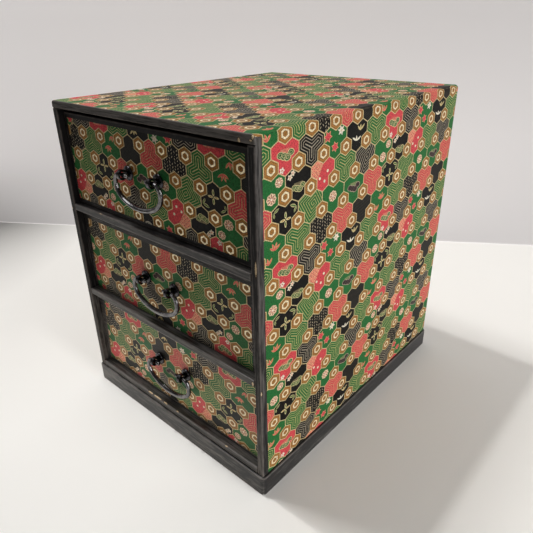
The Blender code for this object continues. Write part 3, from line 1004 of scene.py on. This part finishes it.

# Each board's greyness is partly painted light: the upper shelf is kept blackest and the lower
# boards greyer, as the light on them differs.
for node, spots, grey in (
    ("case_bottom", BOTTOM_CHIPS, 0.50),
    ("case_lower_shelf", LOWER_SHELF_CHIPS, 0.40),
    ("case_upper_shelf", UPPER_SHELF_CHIPS, 0.08),
):
    low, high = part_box(node)
    give(node, black_paper(node, ALONG_X, low, high, grey=grey, spots=spots))
for node, grain in (
    ("plinth_front", ALONG_X), ("plinth_back", ALONG_X),
    ("plinth_left", ALONG_Y), ("plinth_right", ALONG_Y),
):
    low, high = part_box(node)
    give(node, black_paper(node, grain, low, high, chips=0.3, grey=plinth_grey))


# The papers that cover the joints between the boards

def sheet_piece(name, rows, material, loop=False):
    """A sheet through rows of points, which rides on the case. A loop joins the last row to
    the first."""
    count = len(rows[0])
    last = len(rows) if loop else len(rows) - 1
    faces = []
    for i in range(last):
        here = i * count
        there = (i + 1) % len(rows) * count
        faces += [(here + j, there + j, there + j + 1, here + j + 1) for j in range(count - 1)]
    mesh = bpy.data.meshes.new(name)
    mesh.from_pydata([point for row in rows for point in row], [], faces)
    mesh.shade_smooth()
    mesh.set_sharp_from_angle(angle=math.radians(30))
    mesh.materials.append(material)
    piece = add_object(name, mesh)
    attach(piece, "case")
    return piece


def turned_profile(proud):
    """Section of a side's paper, across and up: up the side, over the turn, a little way in."""
    across = half_width - TURN_RADIUS
    up = top_height - TURN_RADIUS
    reach = TURN_RADIUS + proud
    points = [(half_width - SUNK, PAPER_FOOT - PAPER_INSET / 2)]
    points.append((half_width + proud, PAPER_FOOT))
    points.append((half_width + proud, up - PAPER_INSET))
    for step in range(TURN_STEPS + 1):
        angle = math.pi / 2 * step / TURN_STEPS
        points.append((across + reach * math.cos(angle), up + reach * math.sin(angle)))
    points.append((across - PAPER_INSET, top_height + proud))
    points.append((across - 5 * PAPER_INSET, top_height - SUNK))
    return points


def side_paper(name, side):
    rows = []
    for y, proud in (
        (front_edge + PAPER_INSET * 0.7, -SUNK), (front_edge + PAPER_INSET, PAPER),
        (rear_edge - PAPER_INSET, PAPER), (rear_edge - PAPER_INSET * 0.7, -SUNK),
    ):
        rows.append([(side * x, y, z) for x, z in turned_profile(proud)])
    if side < 0:
        rows.reverse()
    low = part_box("case_%s_side" % name)[0]
    material = printed_board(
        name + "_paper", wrap_across, wrap_up, side_panel, ALONG_Z, low, top_high,
        RIGHT_SIDE_CHIPS + TOP_CHIPS if side > 0 else LEFT_SIDE_CHIPS, grey=strip_painted_light)
    piece = sheet_piece(name + "_paper", rows, material)


def back_paper():
    """The sheet on the back, cut to the case's outline."""
    half = half_width - PAPER_INSET
    head = top_height - PAPER_INSET
    rows = []
    for x, proud in (
        (half, -SUNK), (half - PAPER_INSET, PAPER),
        (PAPER_INSET - half, PAPER), (-half, -SUNK),
    ):
        ends = ((PAPER_FOOT - PAPER_INSET / 2, -SUNK), (PAPER_FOOT, proud),
                (head - PAPER_INSET, proud), (head, -SUNK))
        rows.append([(x, rear_edge + out, z) for z, out in ends])
    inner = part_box("case_back")[0].y
    material = printed_board(
        "back_paper", back_across, back_up, back_panel, NO_GRAIN,
        (-half_width, inner, PAPER_FOOT), (half_width, rear_edge + 0.01, top_height))
    piece = sheet_piece("back_paper", rows, material)


def plinth_sleeve():
    """The black paper band round the plinth, turned in over its top edge."""
    half_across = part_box("plinth_right")[1].x
    front = plinth_low.y
    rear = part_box("plinth_back")[1].y
    corners = (
        (half_across, front, -90), (half_across, rear, 0),
        (-half_across, rear, 90), (-half_across, front, 180))
    section = [
        (-SUNK, BAND_FOOT), (PAPER, BAND_FOOT + 2 * SUNK),
        (PAPER, plinth_height - 2 * PLINTH_EDGE)]
    for step in range(EDGE_STEPS + 1):
        angle = math.pi / 2 * step / EDGE_STEPS
        section.append((
            PAPER - PLINTH_EDGE * (1 - math.cos(angle)),
            plinth_height + PAPER - PLINTH_EDGE * (1 - math.sin(angle))))
    section.append((-BAND_TURN, plinth_height + PAPER))
    rows = []
    for x, y, start in corners:
        middle = (x - math.copysign(PLINTH_CORNER, x), y - math.copysign(PLINTH_CORNER, y))
        for step in range(CORNER_STEPS + 1):
            angle = math.radians(start + 90 * step / CORNER_STEPS)
            ray = (math.cos(angle), math.sin(angle))
            rows.append([
                (middle[0] + ray[0] * (PLINTH_CORNER + out),
                 middle[1] + ray[1] * (PLINTH_CORNER + out), z) for out, z in section])
    material = black_paper(
        "plinth_paper", BAND_GRAIN, (-half_across, front, 0),
        (half_across, rear, plinth_height), chips=0.35, grey=plinth_grey)
    piece = sheet_piece("plinth_paper", rows, material, loop=True)


side_paper("right", 1)
side_paper("left", -1)
back_paper()
plinth_sleeve()


# The drawers, each with a sheet of the same paper turned upside down on its front. For each,
# the place of a rosette on it, and the cells' width and the rows' height as it lies.
DRAWER_PRINTS = {
    "top_drawer": ((-0.00242, 0.12552), 0.006154, 0.00457, (-0.0509, 0.0487, 0.09645, 0.1302)),
    "middle_drawer": ((-0.00142, 0.08601), 0.006002, 0.00449, (-0.0502, 0.0484, 0.0530, 0.0873)),
    "bottom_drawer": ((-0.00080, 0.04012), 0.006129, 0.00457, (-0.0504, 0.0494, 0.0130, 0.0487)),
}
# How much further right the sheet's left edge lies for each metre up
PRINT_LEAN = {"top_drawer": 0.035, "middle_drawer": 0.039, "bottom_drawer": 0.079}
# How glossy each front's sheet is: more on the lower ones, a painted sheen that brightens them as
# the table's light does
DRAWER_SHEEN = {"top_drawer": 0.08, "middle_drawer": 0.15, "bottom_drawer": 0.34}
# More of the fronts' gold is bare metal than the case's, to mirror the bright table: painted
# sheen.
DRAWER_FOIL = 0.60
DRAWER_CUT = 0.00015               # how softly these sheets' cut edges show


def dress_drawer(name):
    origin, cell_width, row_height, (left, right, foot, head) = DRAWER_PRINTS[name]
    low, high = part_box(name + "_front")

    def across(recipe, x, y, z):
        return (x - origin[0]) / -cell_width

    def up(recipe, x, y, z):
        return (z - origin[1]) / -row_height

    def panel(recipe, x, y, z):
        leant = x - (z - foot) * PRINT_LEAN[name]
        upright = leant.above(left, DRAWER_CUT) * x.below(right, DRAWER_CUT)
        level = z.above(foot, DRAWER_CUT) * z.below(head, DRAWER_CUT)
        return upright * level * y.below(low.y + FRONT_DEPTH, FACE_EDGE)

    front = name + "_front"
    give(front, printed_board(
        front, across, up, panel, FRONT_GRAIN, low, high, sheen=DRAWER_SHEEN[name],
        foil=DRAWER_FOIL))
    for part in ("left_side", "right_side", "back", "floor"):
        node = name + "_" + part
        low_corner, high_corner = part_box(node)
        give(node, black_paper(
            node, BOX_GRAIN, low_corner, high_corner, chips=0.2, grey=-0.15))
    give(name + "_bail", BAIL_FINISH)
    for part in ("left_pin", "right_pin", "left_seat", "right_seat"):
        give(name + "_" + part, PIN_FINISH)


BAIL_FINISH = dark_metal("polished dark metal", BRIGHT_METAL, RUBBED_METAL)
PIN_FINISH = dark_metal("dark metal", DARK_METAL, BRIGHT_METAL)
for name in DRAWER_PRINTS:
    dress_drawer(name)


# Stage, light and camera

def along_wall(x, y):
    """How far along the wall's foot a point lies, from the picture's left edge."""
    return (x - WALL_LEFT.x) * WALL_RUN.x + (y - WALL_LEFT.y) * WALL_RUN.y


def out_from_wall(x, y):
    """How far out from the wall over the table a point lies."""
    return (x - WALL_LEFT.x) * WALL_RUN.y - (y - WALL_LEFT.y) * WALL_RUN.x


def falling(signal, reach):
    """1 at nought, down to 0 at the reach."""
    return (signal * (1 / reach)).clamped().flip()


def corner_shade(x, y, away, reach):
    """How dark the corner of wall and table is: less to the right, less with the way from it."""
    return falling(along_wall(x, y), SHADE_END) * falling(away, reach)


def table_finish():
    """Pale table with painted shade at its corner with the wall. Light that it throws back onto
    the chest comes only from near the chest, and mostly from in front:
    farther off the table is painted dark for bounced light, and in front of the chest it glows,
    painted light. Where it is seen it glows a little too, painted light over its shadow and all,
    and more in front of the chest's foot."""
    material, recipe, shader, place = start_material("table")
    mottle = recipe.noise(place, 6.0, 3.0, 0.5)
    paler = tuple(min(1.0, c * 1.01) for c in TABLE)
    darker = tuple(c * 0.99 for c in TABLE)
    pale = recipe.paint(mottle, darker, paler)
    x, y, _ = recipe.parts(place)
    off_x = (x.size() - half_width).most(0.0)
    off_y = (y.size() - rear_edge).most(0.0)
    far = recipe.length(recipe.vector(off_x, off_y)).above(TABLE_NEAR, TABLE_SOFT)
    bounced = recipe.out(recipe.node("ShaderNodeLightPath"), "Is Diffuse Ray")
    shade = corner_shade(x, y, out_from_wall(x, y), TABLE_SHADE)
    shaded = recipe.paint(shade, pale, CORNER)
    recipe.feed(shader.inputs["Base Color"], recipe.paint(far * bounced, shaded, FAR_TABLE_SHADE))
    recipe.feed(shader.inputs["Roughness"], mottle * 0.1 + 0.5)
    in_front = y.below(front_edge, 0.01) * x.below(half_width, 0.02) * far.flip()
    at_foot = y.below(front_edge, 0.01) * x.below(half_width - 0.015, 0.05)
    at_foot = at_foot * falling(off_y, FOOT_REACH) * falling(off_x, FOOT_REACH)
    recipe.feed(shader.inputs["Emission Color"], recipe.paint(bounced, pale, WARM_TABLE_GLOW))
    seen = at_foot * FOOT_LIFT + SEEN_LIFT
    recipe.feed(
        shader.inputs["Emission Strength"],
        in_front * bounced * TABLE_LIFT + seen * bounced.flip())
    return material


def wall_finish():
    """Pale wall that glows with painted light and has painted shade at its corner. Light and the
    views from behind pass through it.
    """
    material, recipe, shader, place = start_material("wall")
    mottle = recipe.noise(place, 3.0, 3.0, 0.5)
    darker = tuple(c * 0.985 for c in WALL)
    colour = recipe.paint(mottle, darker, WALL)
    x, y, z = recipe.parts(place)
    shade = corner_shade(x, y, z, WALL_SHADE) * WALL_SHADE_DEPTH
    colour = recipe.paint(shade, colour, CORNER)
    recipe.feed(shader.inputs["Base Color"], colour)
    recipe.feed(shader.inputs["Emission Color"], colour)
    low = ((GLOW_HEAD - z) * (1 / GLOW_SOFT)).clamped()
    glow = WALL_GLOW - along_wall(x, y).most(0.0) * GLOW_FADE + low * GLOW_LOW
    recipe.feed(shader.inputs["Emission Strength"], glow.most(GLOW_LEAST))
    shader.inputs["Roughness"].default_value = 0.8
    clear = recipe.node("ShaderNodeBsdfTransparent")
    behind = recipe.out(recipe.node("ShaderNodeNewGeometry"), "Backfacing")
    shadow = recipe.out(recipe.node("ShaderNodeLightPath"), "Is Shadow Ray")
    both = recipe.node("ShaderNodeMixShader")
    recipe.feed(both.inputs[0], behind.most(shadow))
    tree = material.node_tree
    tree.links.new(shader.outputs[0], both.inputs[1])
    tree.links.new(clear.outputs[0], both.inputs[2])
    tree.links.new(both.outputs[0], tree.nodes["Material Output"].inputs["Surface"])
    return material


def build_table():
    half = FLOOR_HALF
    mesh = bpy.data.meshes.new("floor")
    mesh.from_pydata(
        [(-half, -half, 0), (half, -half, 0), (half, half, 0), (-half, half, 0)], [],
        [(0, 1, 2, 3)])
    mesh.materials.append(table_finish())
    add_object("floor", mesh)


def build_backdrop():
    """A wall that stands on the table behind the chest, a tiny rounding at its foot."""
    along = WALL_RUN
    towards = Vector((along.y, -along.x, 0))
    profile = [(WALL_FOOT, 0.0002)]
    for step in range(WALL_STEPS + 1):
        angle = math.pi / 2 * step / WALL_STEPS
        profile.append((WALL_FOOT * (1 - math.sin(angle)), WALL_FOOT * (1 - math.cos(angle))))
    profile.append((0, WALL_HEIGHT))
    rows = []
    for end in (WALL_LEFT - along * WALL_SPARE, WALL_RIGHT + along * WALL_SPARE):
        rows.append([end + towards * out + Vector((0, 0, up)) for out, up in profile])
    count = len(profile)
    faces = [(i, count + i, count + i + 1, i + 1) for i in range(count - 1)]
    mesh = bpy.data.meshes.new("wall")
    mesh.from_pydata(rows[0] + rows[1], [], faces)
    mesh.shade_smooth()
    mesh.materials.append(wall_finish())
    add_object("wall", mesh)


FLOOR_HALF = 0.9
# How the table is painted with light: beyond the reach it is painted dark for light bounced off
# it, and the lifts make it glow, painted light.
TABLE_NEAR = 0.10                  # how far from the chest the table still throws light back
TABLE_SOFT = 0.06
TABLE_LIFT = 1.15                  # light from the table in front, thrown up at the chest
SEEN_LIFT = 0.066                  # light added where the table is seen, shadow and all
FOOT_LIFT = 0.15                   # and more of it in front of the chest's foot
FOOT_REACH = 0.09
# Two points of the wall's foot
WALL_LEFT = Vector((-0.3213, -0.0005, 0))
WALL_RIGHT = Vector((0.0568, 0.2433, 0))
WALL_RUN = (WALL_RIGHT - WALL_LEFT).normalized()
SHADE_END = 0.09                   # the corner's shade ends this far along the wall,
TABLE_SHADE = 0.20                 # this far out over the table
WALL_SHADE = 0.06                  # and this far up the wall
WALL_SHADE_DEPTH = 0.55
WALL_FOOT = 0.0006                 # radius of the rounding
WALL_STEPS = 8
WALL_SPARE = 1.2                   # how far it goes on at each end
WALL_HEIGHT = 1.0
# The wall's glow is painted light, strongest at the left end and low down.
WALL_GLOW = 0.555                  # at the left end, less to the right by the fade
GLOW_FADE = 0.79
GLOW_LOW = 0.13                    # more of it below the head of the glow
GLOW_HEAD = 0.165
GLOW_SOFT = 0.08
GLOW_LEAST = 0.1
build_table()
build_backdrop()


def area_light(name, place, width, height, power):
    """A panel of light that faces the chest and that the camera doesn't see. Its width lies
    level."""
    data = bpy.data.lights.new(name, "AREA")
    data.shape = "RECTANGLE"
    data.size = width
    data.size_y = height
    data.energy = power
    light = add_object(name, data)
    light.location = place
    light.rotation_euler = (LIT_POINT - Vector(place)).to_track_quat("-Z", "Y").to_euler()
    light.visible_camera = False
    return light


LIT_POINT = Vector((0, 0, 0.07))   # every light faces the middle of the chest
area_light("lamp", (-0.405, -0.079, 1.230), 0.04, 0.04, 4.0)
area_light("overhead", (-0.520, -0.185, 1.230), 0.21, 0.22, 5.4)
area_light("window", (0.92, 0.06, 0.27), 0.60, 0.50, 6.3)
# A pale screen that shows only as a sheen on the metal and the paper
screen = area_light("screen", (-0.45, -0.55, 0.95), 0.45, 0.45, 2.4)
screen.visible_diffuse = False


def light_room():
    """A dim even light from all round. What the camera sees of the room is as pale as the wall."""
    world = bpy.data.worlds.new("room")
    world.use_nodes = True
    recipe = Recipe(world.node_tree)
    background = world.node_tree.nodes["Background"]
    seen = recipe.out(recipe.node("ShaderNodeLightPath"), "Is Camera Ray")
    background.inputs["Color"].default_value = rgba(WALL)
    recipe.feed(background.inputs["Strength"], recipe.choose(seen, ROOM_LIGHT, ROOM_SEEN))
    bpy.context.scene.world = world


ROOM_LIGHT = 0.13
ROOM_SEEN = 0.9
light_room()

CAMERA_PLACE = (0.147776, -0.164187, 0.164428)
CAMERA_TARGET = (0.003562, -0.004330, 0.058371)
CAMERA_ROLL = math.radians(-1.0425)
FOCAL_LENGTH = 34.064
SENSOR_WIDTH = 36.0

camera_data = bpy.data.cameras.new("camera")
camera_data.lens = FOCAL_LENGTH
camera_data.sensor_width = SENSOR_WIDTH
camera_data.clip_start = 0.01
camera = add_object("camera", camera_data)
camera.location = CAMERA_PLACE
aim = (Vector(CAMERA_TARGET) - Vector(CAMERA_PLACE)).to_track_quat("-Z", "Y")
camera.rotation_euler = (aim.to_matrix() @ Matrix.Rotation(CAMERA_ROLL, 3, "Z")).to_euler()
bpy.context.scene.camera = camera
bpy.context.scene.view_settings.view_transform = "Standard"
